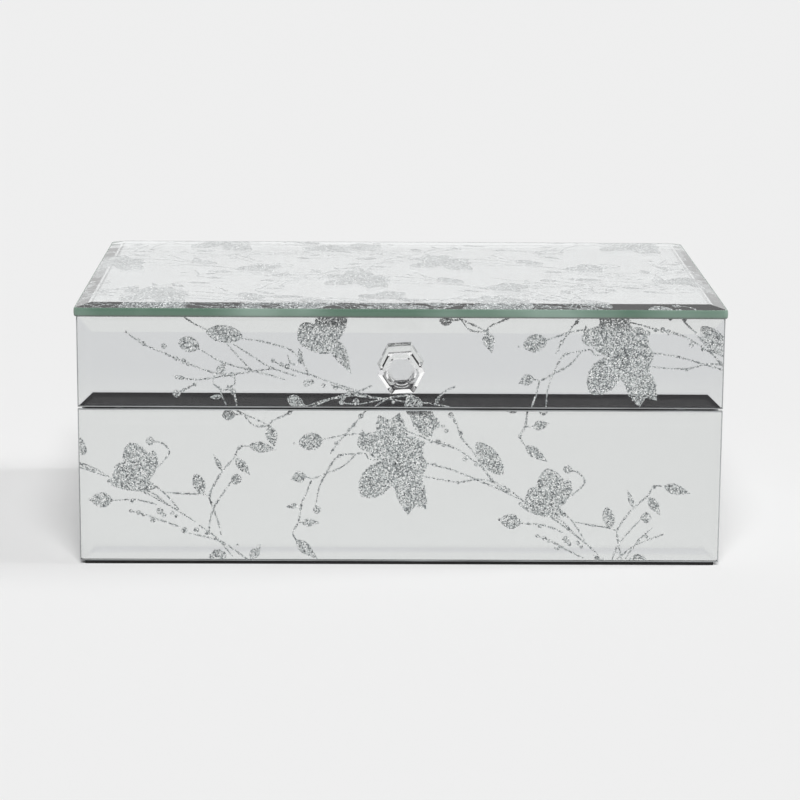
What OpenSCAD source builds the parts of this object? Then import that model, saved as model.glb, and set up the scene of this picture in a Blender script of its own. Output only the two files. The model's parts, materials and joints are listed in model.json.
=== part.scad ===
// Mirrored vanity trinket box with a hinged lid.
// Millimetres, +Z up. The origin is the middle of the underside, and the front faces -Y.

/* [Body] */
// Width of the box across its left and right glass
body_w = 268; // [200:1:340]
// Depth of the box across its front and back glass
body_d = 178; // [130:1:240]
// Height of the base's glass
base_h = 65; // [40:0.5:100]
// Height of the lid's side glass
lid_h = 38.5; // [32:0.5:60]
// Gap between the rims of the base and the shut lid
seam_gap = 0.8; // [0.6:0.1:1.2]

/* [Glass] */
// Thickness of the glass on the walls
wall_glass_t = 3; // [2.5:0.5:5]
// Thickness of the glass on top of the lid
top_glass_t = 5; // [4:0.5:8]
// How far the top glass stands out past the lid on every side
top_overhang = 0.7; // [0:0.25:4]
// Radius of the top glass's corners
top_corner_r = 2; // [1:0.5:6]
// Width of the ground bevel round each piece of glass
bevel_w = 6.5; // [3:0.5:10]
// Thickness that the bevel takes off the glass at its outer edge
bevel_drop = 1.5; // [0.6:0.1:1.8]

/* [Carcass] */
// Thickness of the wall boards
wall_t = 8; // [6:0.5:12]
// Thickness of the boards that close the base and the lid
closing_t = 4; // [3:0.5:8]
// Thickness of the felt under the base
felt_t = 1.5; // [1:0.25:3]
// How far the felt is set in from the outside of the glass
felt_inset = 2; // [0:0.5:10]

/* [Lining] */
// Thickness of the velvet cards on the walls
card_t = 1.5; // [1:0.25:3]
// How far the wall cards stop short of the rims
card_drop = 1; // [0.5:0.25:4]
// Thickness of the pad on the base's floor
floor_pad_t = 4; // [2:0.5:8]
// Thickness of the pad under the lid's top
lid_pad_t = 3; // [2:0.5:8]

/* [Knob] */
// Width of the knob across its corners
knob_w = 19.5; // [16:0.5:24]
// How far the knob stands out from the lid's glass
knob_l = 11; // [9:0.5:18]
// Diameter of the knob's round foot
knob_foot_d = 11; // [9:0.5:13]
// Length of the knob's round foot
knob_foot_l = 2; // [1:0.5:3]
// Width of the facets round the knob's face
knob_facet = 2.6; // [1:0.1:3]
// Slope of those facets, in degrees from the knob's axis
knob_facet_slope = 50; // [35:1:60]
// Length of the knob's flare, from its foot to its sides
knob_flare_l = 2; // [1:0.1:3]
// How far the knob sits below the middle of the lid's height
knob_drop = 2.3; // [0:0.1:4]
// Turn of the knob on its axis, in degrees
knob_turn = 4; // [0:1:30]

/* [Hinges] */
// Distance between the middles of the hinges
hinge_spacing = 160; // [100:5:190]
// Length of a hinge
hinge_l = 30; // [24:1:45]
// Thickness of the hinge's leaves
leaf_t = 0.9; // [0.6:0.1:1.4]
// How far a leaf stops short of the wall's inner face
leaf_margin = 1; // [0.5:0.25:2]
// Diameter of the knuckles
knuckle_d = 4; // [3.6:0.2:6]
// Diameter of the hinge pin
pin_d = 2; // [1.2:0.1:2.2]
// Screws in each leaf
leaf_screws = 3; // [2:1:3]
// Diameter of a screw's shank
screw_d = 2; // [1.4:0.1:2.4]
// Diameter of a screw's head
screw_head_d = 3.6; // [3:0.1:4.2]
// Length of a screw
screw_l = 8; // [5:0.5:14]
// Angle at which the lid comes to rest on its stops
open_angle = 95; // [88:1:105]
// How far the stops stand out from the knuckles
stop_w = 1.8; // [1.2:0.1:2.6]
// Thickness of the stops
stop_t = 0.9; // [0.6:0.1:1.2]

/* [Bumpers] */
// Diameter of the bumpers between the rims
bumper_d = 6; // [4:0.5:6]
// Distance from the side of the carcass to a bumper's middle
bumper_in = 14; // [8:1:30]

/* [Clearances] */
// Gap round the pin in its knuckles, on the radius
pin_fit = 0.05; // [0.02:0.01:0.1]
// Gap between neighbouring knuckles, and between a knuckle and the other leaf
knuckle_gap = 0.25; // [0.15:0.05:0.5]
// Gap between the knuckles and the back glass
barrel_gap = 0.2; // [0.1:0.05:0.6]
// Gap between a leaf and the edge of the back glass
leaf_gap = 0.2; // [0.1:0.05:0.5]
// Gap round a leaf in its recess
recess_fit = 0.2; // [0.1:0.05:0.4]
// Gap round a screw in its leaf and its pilot hole, on the radius
screw_fit = 0.05; // [0.02:0.01:0.1]
// Gap left between the faces of the two stops
stop_fit = 0.06; // [0.04:0.01:0.1]

/* [Hidden] */

// Sides along X and Y: left and front are -1, right and back are 1
LEFT = -1;
RIGHT = 1;
FRONT = -1;
BACK = 1;

// Heights, from the surface that the felt stands on
base_z = felt_t;
rim_z = base_z + base_h;
lid_z = rim_z + seam_gap;
top_z = lid_z + lid_h;

// The carcass fits inside the glass, and the lining inside the carcass
carcass_w = body_w - 2 * wall_glass_t;
carcass_d = body_d - 2 * wall_glass_t;
inside_w = carcass_w - 2 * wall_t;
inside_d = carcass_d - 2 * wall_t;
base_card_z = base_z + closing_t;
base_card_h = base_h - closing_t - card_drop;
lid_card_z = lid_z + card_drop;
lid_card_h = lid_h - closing_t - card_drop;

// The hinge's axis lies in the middle of the seam, just behind the back glass
knuckle_r = knuckle_d / 2;
hinge_y = body_d / 2 + barrel_gap + knuckle_r;
hinge_z = rim_z + seam_gap / 2;
leaf_start = knuckle_r + knuckle_gap;
leaf_end = hinge_y - carcass_d / 2 + wall_t - leaf_margin;
screw_y = hinge_y - carcass_d / 2 + wall_t / 2;
screw_step = hinge_l / leaf_screws;
// Half of the middle knuckle, which belongs to the lid
mid_knuckle = hinge_l / 6 - knuckle_gap / 2;
// The end of an outer knuckle that faces the middle one
outer_knuckle = hinge_l / 6 + knuckle_gap / 2;
pin_head_t = 0.5;
pin_head_d = pin_d + 0.8;
// The back glass stops short of the seam, to let the leaves over it
glass_relief = leaf_t + leaf_gap;

// Half widths of the knob across its flats: its body, its back edge and its front face
knob_flat = knob_w / 2 * cos(30);
knob_back_flat = knob_flat - 0.5;
knob_face_flat = knob_flat - knob_facet * sin(knob_facet_slope);
knob_face_z = knob_l - knob_facet * cos(knob_facet_slope);
knob_z = lid_z + lid_h / 2 - knob_drop;

screw_drive_w = 0.4;
screw_drive_deep = 0.45;
screw_point = 1.6;
// How far a screw's head lies below its leaf's face
head_sunk = 0.04;
// Longer than any cut has to be
past = 1;
round_fn = 48;

glass_colour = [0.84, 0.86, 0.86];
board_colour = [0.13, 0.12, 0.12];
velvet_colour = [0.1, 0.1, 0.11];
felt_colour = [0.08, 0.08, 0.08];
nickel_colour = [0.75, 0.75, 0.73];
crystal_colour = [0.92, 0.95, 0.96, 0.5];
bumper_colour = [0.85, 0.87, 0.87, 0.6];

// A carcass wall that runs the whole width, at the front or the back
module long_board(side, z, h) {
    translate([-carcass_w / 2, side * (carcass_d - wall_t) / 2 - wall_t / 2, z])
        cube([carcass_w, wall_t, h]);
}

// A carcass wall between the front and back ones
module short_board(side, z, h) {
    translate([side * (carcass_w - wall_t) / 2 - wall_t / 2, -inside_d / 2, z])
        cube([wall_t, inside_d, h]);
}

// A board that closes the carcass, between all four walls
module closing_board(z) {
    translate([-inside_w / 2, -inside_d / 2, z])
        cube([inside_w, inside_d, closing_t]);
}

// The section of a glass panel: flat behind, with a bevel at both ends of its face
module glass_section(w, t) {
    polygon([
        [-w / 2, 0], [w / 2, 0], [w / 2, t - bevel_drop], [w / 2 - bevel_w, t],
        [-w / 2 + bevel_w, t], [-w / 2, t - bevel_drop]
    ]);
}

// A glass panel with its back on the XY plane and its bevelled face towards +Z
module bevelled_glass(w, h, t) {
    intersection() {
        rotate([90, 0, 0])
            linear_extrude(h, center = true)
                glass_section(w, t);
        rotate([90, 0, 90])
            linear_extrude(w, center = true)
                glass_section(h, t);
    }
}

// A glass panel on the front or back, across the whole width
module long_glass(side, z, h) {
    translate([0, side * carcass_d / 2, z + h / 2])
        rotate([90, 0, side == BACK ? 180 : 0])
            bevelled_glass(body_w, h, wall_glass_t);
}

// A glass panel on the left or right, between the front and back ones
module short_glass(side, z, h) {
    translate([side * carcass_w / 2, 0, z + h / 2])
        rotate([90, 0, side * 90])
            bevelled_glass(carcass_d, h, wall_glass_t);
}

// A plate with round corners, standing on the XY plane
module round_plate(w, d, h, r) {
    translate([-w / 2 + r, -d / 2, 0])
        cube([w - 2 * r, d, h]);
    translate([-w / 2, -d / 2 + r, 0])
        cube([w, d - 2 * r, h]);
    for (x = [-1, 1], y = [-1, 1])
        translate([x * (w / 2 - r), y * (d / 2 - r), 0])
            cylinder(r = r, h = h, $fn = round_fn);
}

// A lining card on the front or back wall
module long_card(side, z, h) {
    translate([-inside_w / 2, side * (inside_d - card_t) / 2 - card_t / 2, z])
        cube([inside_w, card_t, h]);
}

// A lining card on the left or right wall, between the long ones
module short_card(side, z, h) {
    length = inside_d - 2 * card_t;
    translate([side * (inside_w - card_t) / 2 - card_t / 2, -length / 2, z])
        cube([card_t, length, h]);
}

// A pad that fills the space between the cards
module pad(z, t) {
    w = inside_w - 2 * card_t;
    d = inside_d - 2 * card_t;
    translate([-w / 2, -d / 2, z])
        cube([w, d, t]);
}

// Places the children at both hinges, with the hinge's axis along X through their origin
module at_hinges() {
    for (side = [LEFT, RIGHT])
        at_hinge(side)
            children();
}

module at_hinge(side) {
    translate([side * hinge_spacing / 2, hinge_y, hinge_z])
        children();
}

// Places the children at the screws of one leaf: the axis points up, out of the leaf's face
module at_leaf_screws() {
    for (i = [0 : leaf_screws - 1])
        translate([(i - (leaf_screws - 1) / 2) * screw_step, -screw_y, -seam_gap / 2])
            children();
}

// The space that a leaf of the base takes in the rim, with its pilot holes
module leaf_recess() {
    front = leaf_end + recess_fit;
    back = leaf_end - wall_t + leaf_margin - past;
    translate([-hinge_l / 2 - recess_fit, -front, -seam_gap / 2 - leaf_t])
        cube([hinge_l + 2 * recess_fit, front - back, leaf_t + past]);
    at_leaf_screws()
        translate([0, 0, -screw_l - past])
            cylinder(d = screw_d + 2 * screw_fit, h = screw_l + 2 * past, $fn = round_fn);
}

// A round bar along the hinge's axis
module axial_bar(d, x0, x1) {
    translate([x0, 0, 0])
        rotate([0, 90, 0])
            cylinder(d = d, h = x1 - x0, $fn = round_fn);
}

// The hole and countersink for one screw in a leaf
module screw_seat() {
    cone = (screw_head_d - screw_d) / 2;
    translate([0, 0, -leaf_t - past])
        cylinder(d = screw_d + 2 * screw_fit, h = leaf_t + 2 * past, $fn = round_fn);
    translate([0, 0, -cone])
        cylinder(
            d1 = screw_d + 2 * screw_fit,
            d2 = screw_head_d + 2 * screw_fit,
            h = cone + 0.001,
            $fn = round_fn
        );
}

// The fin of a base leaf's stop, which stands out along Y. Its top face meets the lid's fin
module stop_fin(x0, x1) {
    root = (pin_d + knuckle_d) / 4;
    rotate([-open_angle / 2, 0, 0])
        translate([x0, root, -stop_t - stop_fit / 2])
            cube([x1 - x0, knuckle_r + stop_w - root, stop_t]);
}

// A leaf of the base with its own knuckles. The others' places are cut clear, and the child is its stop
module leaf(own, others) {
    difference() {
        union() {
            translate([-hinge_l / 2, -leaf_end, -seam_gap / 2 - leaf_t])
                cube([hinge_l, leaf_end, leaf_t]);
            for (k = own)
                axial_bar(knuckle_d, k[0], k[1]);
            children();
        }
        for (k = others)
            axial_bar(2 * leaf_start, k[0], k[1]);
        axial_bar(pin_d + 2 * pin_fit, -hinge_l / 2 - past, hinge_l / 2 + past);
        at_leaf_screws()
            screw_seat();
    }
}

module base_leaf() {
    half = hinge_l / 2;
    own = [[-half, -outer_knuckle], [outer_knuckle, half]];
    leaf(own, [[-outer_knuckle, outer_knuckle]])
        stop_fin(-half, half);
}

module lid_leaf() {
    end = hinge_l / 2 + past;
    mirror([0, 0, 1])
        leaf([[-mid_knuckle, mid_knuckle]], [[-end, -mid_knuckle], [mid_knuckle, end]])
            stop_fin(-mid_knuckle, mid_knuckle);
}

module pin() {
    axial_bar(pin_d, -hinge_l / 2, hinge_l / 2);
    for (side = [LEFT, RIGHT])
        translate([side * (hinge_l + pin_head_t) / 2, 0, 0])
            axial_bar(pin_head_d, -pin_head_t / 2, pin_head_t / 2);
}

// A countersunk wood screw that points down, with its leaf's face at z = 0
module screw() {
    cone = (screw_head_d - screw_d) / 2;
    difference() {
        translate([0, 0, -head_sunk])
            union() {
                translate([0, 0, -cone])
                    cylinder(d1 = screw_d, d2 = screw_head_d, h = cone, $fn = round_fn);
                translate([0, 0, -screw_l + screw_point])
                    cylinder(d = screw_d, h = screw_l - screw_point - cone, $fn = round_fn);
                translate([0, 0, -screw_l])
                    cylinder(d1 = screw_d / 4, d2 = screw_d, h = screw_point, $fn = round_fn);
            }
        for (a = [0, 90])
            rotate([0, 0, a])
                translate([-screw_head_d / 3, -screw_drive_w / 2, -head_sunk - screw_drive_deep])
                    cube([screw_head_d * 2 / 3, screw_drive_w, screw_drive_deep + past]);
    }
}

// Both hinges' screws for one side of the seam
module hinge_screws() {
    at_hinges()
        at_leaf_screws()
            screw();
}

// Turns what belongs to the base's side of the seam over, for the lid
module over_seam() {
    translate([0, 0, 2 * hinge_z])
        mirror([0, 0, 1])
            children();
}

// Half of the knob's side view, from its foot to its face, mirrored about its axis
module knob_section() {
    foot = knob_foot_d / 2 - 0.5;
    flare = knob_foot_l + knob_flare_l;
    polygon([
        [-foot, knob_foot_l], [foot, knob_foot_l], [knob_back_flat, flare],
        [knob_flat, knob_face_z], [knob_face_flat, knob_l],
        [-knob_face_flat, knob_l], [-knob_flat, knob_face_z], [-knob_back_flat, flare]
    ]);
}

// ---- Base ----

module base_front_board() {
    color(board_colour)
        long_board(FRONT, base_z, base_h);
}

module base_back_board() {
    color(board_colour)
        difference() {
            long_board(BACK, base_z, base_h);
            at_hinges()
                leaf_recess();
        }
}

module base_left_board() {
    color(board_colour)
        short_board(LEFT, base_z, base_h);
}

module base_right_board() {
    color(board_colour)
        short_board(RIGHT, base_z, base_h);
}

module base_floor_board() {
    color(board_colour)
        closing_board(base_z);
}

module base_felt() {
    w = body_w - 2 * felt_inset;
    d = body_d - 2 * felt_inset;
    color(felt_colour)
        translate([-w / 2, -d / 2, 0])
            cube([w, d, felt_t]);
}

module base_front_glass() {
    color(glass_colour)
        long_glass(FRONT, base_z, base_h);
}

module base_back_glass() {
    color(glass_colour)
        long_glass(BACK, base_z, base_h - glass_relief);
}

module base_left_glass() {
    color(glass_colour)
        short_glass(LEFT, base_z, base_h);
}

module base_right_glass() {
    color(glass_colour)
        short_glass(RIGHT, base_z, base_h);
}

module base_front_lining() {
    color(velvet_colour)
        long_card(FRONT, base_card_z, base_card_h);
}

module base_back_lining() {
    color(velvet_colour)
        long_card(BACK, base_card_z, base_card_h);
}

module base_left_lining() {
    color(velvet_colour)
        short_card(LEFT, base_card_z, base_card_h);
}

module base_right_lining() {
    color(velvet_colour)
        short_card(RIGHT, base_card_z, base_card_h);
}

module base_floor_pad() {
    color(velvet_colour)
        pad(base_card_z, floor_pad_t);
}

module rim_bumpers() {
    color(bumper_colour)
        for (side = [LEFT, RIGHT])
            translate([side * (carcass_w / 2 - bumper_in), -(carcass_d - wall_t) / 2, rim_z])
                cylinder(d = bumper_d, h = seam_gap, $fn = round_fn);
}

// ---- Lid ----

module lid_front_board() {
    color(board_colour)
        long_board(FRONT, lid_z, lid_h);
}

module lid_back_board() {
    color(board_colour)
        difference() {
            long_board(BACK, lid_z, lid_h);
            over_seam()
                at_hinges()
                    leaf_recess();
        }
}

module lid_left_board() {
    color(board_colour)
        short_board(LEFT, lid_z, lid_h);
}

module lid_right_board() {
    color(board_colour)
        short_board(RIGHT, lid_z, lid_h);
}

module lid_top_board() {
    color(board_colour)
        closing_board(top_z - closing_t);
}

module lid_front_glass() {
    color(glass_colour)
        long_glass(FRONT, lid_z, lid_h);
}

module lid_back_glass() {
    color(glass_colour)
        long_glass(BACK, lid_z + glass_relief, lid_h - glass_relief);
}

module lid_left_glass() {
    color(glass_colour)
        short_glass(LEFT, lid_z, lid_h);
}

module lid_right_glass() {
    color(glass_colour)
        short_glass(RIGHT, lid_z, lid_h);
}

module lid_top_glass() {
    w = body_w + 2 * top_overhang;
    d = body_d + 2 * top_overhang;
    color(glass_colour)
        translate([0, 0, top_z])
            intersection() {
                bevelled_glass(w, d, top_glass_t);
                round_plate(w, d, top_glass_t, top_corner_r);
            }
}

module lid_front_lining() {
    color(velvet_colour)
        long_card(FRONT, lid_card_z, lid_card_h);
}

module lid_back_lining() {
    color(velvet_colour)
        long_card(BACK, lid_card_z, lid_card_h);
}

module lid_left_lining() {
    color(velvet_colour)
        short_card(LEFT, lid_card_z, lid_card_h);
}

module lid_right_lining() {
    color(velvet_colour)
        short_card(RIGHT, lid_card_z, lid_card_h);
}

module lid_top_pad() {
    color(velvet_colour)
        pad(top_z - closing_t - lid_pad_t, lid_pad_t);
}

module lid_knob() {
    color(crystal_colour)
        translate([0, -body_d / 2, knob_z])
            rotate([90, 0, 0])
                rotate([0, 0, knob_turn])
                    union() {
                        cylinder(d = knob_foot_d, h = knob_foot_l, $fn = round_fn);
                        intersection_for(a = [30, 90, 150])
                            rotate([0, 0, a])
                                rotate([90, 0, 0])
                                    linear_extrude(2 * knob_w, center = true)
                                        knob_section();
                    }
}

// ---- Hinges ----

module left_hinge_base_leaf() {
    color(nickel_colour)
        at_hinge(LEFT)
            base_leaf();
}

module left_hinge_lid_leaf() {
    color(nickel_colour)
        at_hinge(LEFT)
            lid_leaf();
}

module left_hinge_pin() {
    color(nickel_colour)
        at_hinge(LEFT)
            pin();
}

module right_hinge_base_leaf() {
    color(nickel_colour)
        at_hinge(RIGHT)
            base_leaf();
}

module right_hinge_lid_leaf() {
    color(nickel_colour)
        at_hinge(RIGHT)
            lid_leaf();
}

module right_hinge_pin() {
    color(nickel_colour)
        at_hinge(RIGHT)
            pin();
}

module base_hinge_screws() {
    color(nickel_colour)
        hinge_screws();
}

module lid_hinge_screws() {
    color(nickel_colour)
        over_seam()
            hinge_screws();
}

base_front_board();
base_back_board();
base_left_board();
base_right_board();
base_floor_board();
base_felt();
base_front_glass();
base_back_glass();
base_left_glass();
base_right_glass();
base_front_lining();
base_back_lining();
base_left_lining();
base_right_lining();
base_floor_pad();
rim_bumpers();
lid_front_board();
lid_back_board();
lid_left_board();
lid_right_board();
lid_top_board();
lid_front_glass();
lid_back_glass();
lid_left_glass();
lid_right_glass();
lid_top_glass();
lid_front_lining();
lid_back_lining();
lid_left_lining();
lid_right_lining();
lid_top_pad();
lid_knob();
left_hinge_base_leaf();
left_hinge_lid_leaf();
left_hinge_pin();
right_hinge_base_leaf();
right_hinge_lid_leaf();
right_hinge_pin();
base_hinge_screws();
lid_hinge_screws();
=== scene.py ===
"""Looks of a mirrored trinket box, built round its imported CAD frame. Metres, +Z up, front facing -Y."""

import json
import logging
import math
from dataclasses import dataclass, field
from enum import Enum
from typing import Any, ClassVar, Sequence

import bmesh
import bpy
import numpy as np
from mathutils import Matrix, Vector

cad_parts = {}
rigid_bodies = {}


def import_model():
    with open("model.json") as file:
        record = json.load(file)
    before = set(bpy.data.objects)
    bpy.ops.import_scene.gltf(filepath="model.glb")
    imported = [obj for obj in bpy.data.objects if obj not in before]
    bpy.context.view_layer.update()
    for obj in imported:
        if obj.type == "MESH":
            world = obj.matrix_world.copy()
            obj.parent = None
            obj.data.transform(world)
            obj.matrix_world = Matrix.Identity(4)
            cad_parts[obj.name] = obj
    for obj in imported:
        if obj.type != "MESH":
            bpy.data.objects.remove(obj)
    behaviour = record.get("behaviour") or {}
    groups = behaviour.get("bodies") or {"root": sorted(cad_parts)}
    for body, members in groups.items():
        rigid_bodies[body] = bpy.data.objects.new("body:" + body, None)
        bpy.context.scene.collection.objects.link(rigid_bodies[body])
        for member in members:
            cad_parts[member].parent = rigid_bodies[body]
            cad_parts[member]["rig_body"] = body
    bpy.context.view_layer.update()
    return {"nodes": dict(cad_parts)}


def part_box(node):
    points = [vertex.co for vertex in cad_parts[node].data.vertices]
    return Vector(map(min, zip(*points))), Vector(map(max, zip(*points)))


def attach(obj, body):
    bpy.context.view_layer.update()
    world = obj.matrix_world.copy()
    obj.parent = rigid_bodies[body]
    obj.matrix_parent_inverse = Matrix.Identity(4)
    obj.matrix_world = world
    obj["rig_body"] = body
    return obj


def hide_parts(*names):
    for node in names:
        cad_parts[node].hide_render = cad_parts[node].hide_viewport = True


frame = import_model()

LOG = logging.getLogger("trinket_box")
MM = 0.001
Point = tuple[float, float]


# ---- Meshes ----


@dataclass
class Shape:
    """A mesh in the making: its points in metres, and faces of three or four corners."""

    points: np.ndarray
    faces: list[tuple[int, ...]]

    @staticmethod
    def joined(shapes: Sequence["Shape"]) -> "Shape":
        """Return one shape that holds all the given ones."""
        starts = np.cumsum([0] + [len(s.points) for s in shapes])
        faces = [tuple(i + int(n) for i in f) for s, n in zip(shapes, starts) for f in s.faces]
        return Shape(np.vstack([s.points for s in shapes]), faces)


def grid_faces(
    rows: int, cols: int, round_rows: bool = False, round_cols: bool = False
) -> list[tuple[int, ...]]:
    """Quads of a grid of points that is stored row by row.

    Args:
        rows: Number of rows of points.
        cols: Number of points in a row.
        round_rows: Whether the last row joins the first.
        round_cols: Whether the last point of a row joins its first.

    Returns:
        The quads, as tuples of point numbers.
    """
    r = np.arange(rows if round_rows else rows - 1)[:, None]
    c = np.arange(cols if round_cols else cols - 1)[None, :]
    below, beside = (r + 1) % rows, (c + 1) % cols
    quads = np.stack([r * cols + c, r * cols + beside, below * cols + beside, below * cols + c], axis=-1)
    return [tuple(q) for q in quads.reshape(-1, 4).tolist()]


def make_piece(
    name: str, shape: Shape, finish: "Finish", body: str, smooth: bool = False
) -> bpy.types.Object:
    """Turn a shape into a piece that rides on a body.

    Args:
        name: The piece's name.
        shape: Its mesh, in place.
        finish: What it is made of.
        body: The CAD body that it moves with.
        smooth: Whether its faces are shaded smooth.

    Returns:
        The new object.
    """
    mesh = bpy.data.meshes.new(name)
    mesh.from_pydata(shape.points.tolist(), [], shape.faces)
    mesh.polygons.foreach_set("use_smooth", np.full(len(mesh.polygons), smooth))
    mesh.validate()
    piece = bpy.data.objects.new(name, mesh)
    bpy.context.scene.collection.objects.link(piece)
    mesh.materials.append(finish.material())
    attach(piece, body)
    LOG.info("%s: %d faces on %s", name, len(mesh.polygons), body)
    return piece


# ---- Finishes ----


def linear(colour: str) -> tuple[float, float, float, float]:
    """Turn an sRGB hex colour such as #A0B0C0 into linear red, green, blue and alpha."""
    values = [int(colour[i : i + 2], 16) / 255 for i in (1, 3, 5)]
    low = [v / 12.92 if v <= 0.04045 else ((v + 0.055) / 1.055) ** 2.4 for v in values]
    return (low[0], low[1], low[2], 1.0)


def per_metre(size_mm: float) -> float:
    """Return the scale of a texture whose features are to be size_mm apart."""
    return 1 / (size_mm * MM)


def add_node(
    tree: bpy.types.NodeTree, kind: str, settings: dict[Any, Any] | None = None,
    links: dict[Any, Any] | None = None, stops: Sequence[tuple[float, str]] = (),
) -> bpy.types.Node:
    """Add a shader node with its settings and its links.

    Args:
        tree: The node tree that it joins.
        kind: The node's type.
        settings: Values by socket name or number, or by the node's own property name.
        links: Output sockets by the name or number of the input that each one feeds.
        stops: Positions and hex colours of its colour ramp, from the lowest up.

    Returns:
        The node.
    """
    node = tree.nodes.new(kind)
    for key, value in (settings or {}).items():
        if isinstance(key, int) or key in node.inputs:
            node.inputs[key].default_value = value
        else:
            setattr(node, key, value)
    for key, source in (links or {}).items():
        tree.links.new(source, node.inputs[key])
    for number, (position, colour) in enumerate(stops):
        ramp = node.color_ramp.elements
        stop = ramp[number] if number < 2 else ramp.new(position)
        stop.position, stop.color = position, linear(colour)
    return node


def mottle(
    tree: bpy.types.NodeTree, size_mm: float, detail: float = 2.0, distortion: float = 0.0
) -> bpy.types.NodeSocket:
    """Mottle a piece with a cloudy pattern that is fixed to it.

    Args:
        tree: The node tree.
        size_mm: Size of the largest clouds.
        detail: How many times they get finer.
        distortion: How much they are stirred.

    Returns:
        The socket of the pattern's value, from 0 to 1.
    """
    place = add_node(tree, "ShaderNodeTexCoord").outputs["Object"]
    settings = {"Scale": per_metre(size_mm), "Detail": detail, "Distortion": distortion}
    return add_node(tree, "ShaderNodeTexNoise", settings, {"Vector": place}).outputs["Fac"]


def relief(
    tree: bpy.types.NodeTree, height: bpy.types.NodeSocket, strength: float, depth_mm: float,
    over: bpy.types.NodeSocket | None = None,
) -> bpy.types.NodeSocket:
    """Raise a piece's skin by a pattern, on top of another relief where there is one.

    Args:
        tree: The node tree.
        height: The pattern's value.
        strength: How strong the effect is, from 0 to 1.
        depth_mm: How deep it is.
        over: The normal of the other relief.

    Returns:
        The socket of the new normal.
    """
    links = {"Height": height} if over is None else {"Height": height, "Normal": over}
    settings = {"Strength": strength, "Distance": depth_mm * MM}
    return add_node(tree, "ShaderNodeBump", settings, links).outputs[0]


@dataclass(frozen=True)
class Finish:
    """A material that is made once, on first use."""

    name: str
    made: ClassVar[dict[str, bpy.types.Material]] = {}

    def shade(self, tree: bpy.types.NodeTree) -> bpy.types.NodeSocket:
        """Add the finish's nodes and return the shader's socket."""
        raise NotImplementedError

    def material(self) -> bpy.types.Material:
        """Return the finish as a Blender material."""
        if self.name not in Finish.made:
            made = bpy.data.materials.new(self.name)
            made.use_nodes = True
            tree = made.node_tree
            tree.nodes.clear()
            add_node(tree, "ShaderNodeOutputMaterial", links={"Surface": self.shade(tree)})
            Finish.made[self.name] = made
        return Finish.made[self.name]

    def dress(self, *nodes: str) -> None:
        """Put the finish on CAD nodes."""
        for node in nodes:
            piece = frame["nodes"][node]
            piece.data.materials.clear()
            piece.data.materials.append(self.material())


@dataclass(frozen=True)
class ClearGlass(Finish):
    """Polished float glass. Lamps shine straight through it, as they do through a thin pane."""

    name: str = "polished_float_glass"
    colour: str = "#FDFEFD"
    ior: float = 1.52

    def shade(self, tree: bpy.types.NodeTree) -> bpy.types.NodeSocket:
        """Add a refracting shader that lets shadow rays pass, and return its socket."""
        colour = linear(self.colour)
        glass = add_node(tree, "ShaderNodeBsdfPrincipled", {
            "Base Color": colour, "Roughness": 0.0, "IOR": self.ior, "Transmission Weight": 1.0,
        })
        passing = add_node(tree, "ShaderNodeBsdfTransparent", {"Color": colour})
        light = add_node(tree, "ShaderNodeLightPath")
        return add_node(tree, "ShaderNodeMixShader", links={
            0: light.outputs["Is Shadow Ray"], 1: glass.outputs[0], 2: passing.outputs[0],
        }).outputs[0]


@dataclass(frozen=True)
class CutCrystal(ClearGlass):
    """Optical crystal, cut and flame-polished: clearer than the float glass and more refracting."""

    name: str = "cut_crystal"
    colour: str = "#FEFEFE"
    ior: float = 1.54


@dataclass(frozen=True)
class Silvering(Finish):
    """Silver deposited on the back of float glass: a perfect mirror, a little greyer than polished silver."""

    name: str = "chemical_silvering"
    colour: str = "#E9EAEA"

    def shade(self, tree: bpy.types.NodeTree) -> bpy.types.NodeSocket:
        """Add the mirror and return its socket."""
        settings = {"Base Color": linear(self.colour), "Metallic": 1.0, "Roughness": 0.0}
        return add_node(tree, "ShaderNodeBsdfPrincipled", settings).outputs[0]


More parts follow.
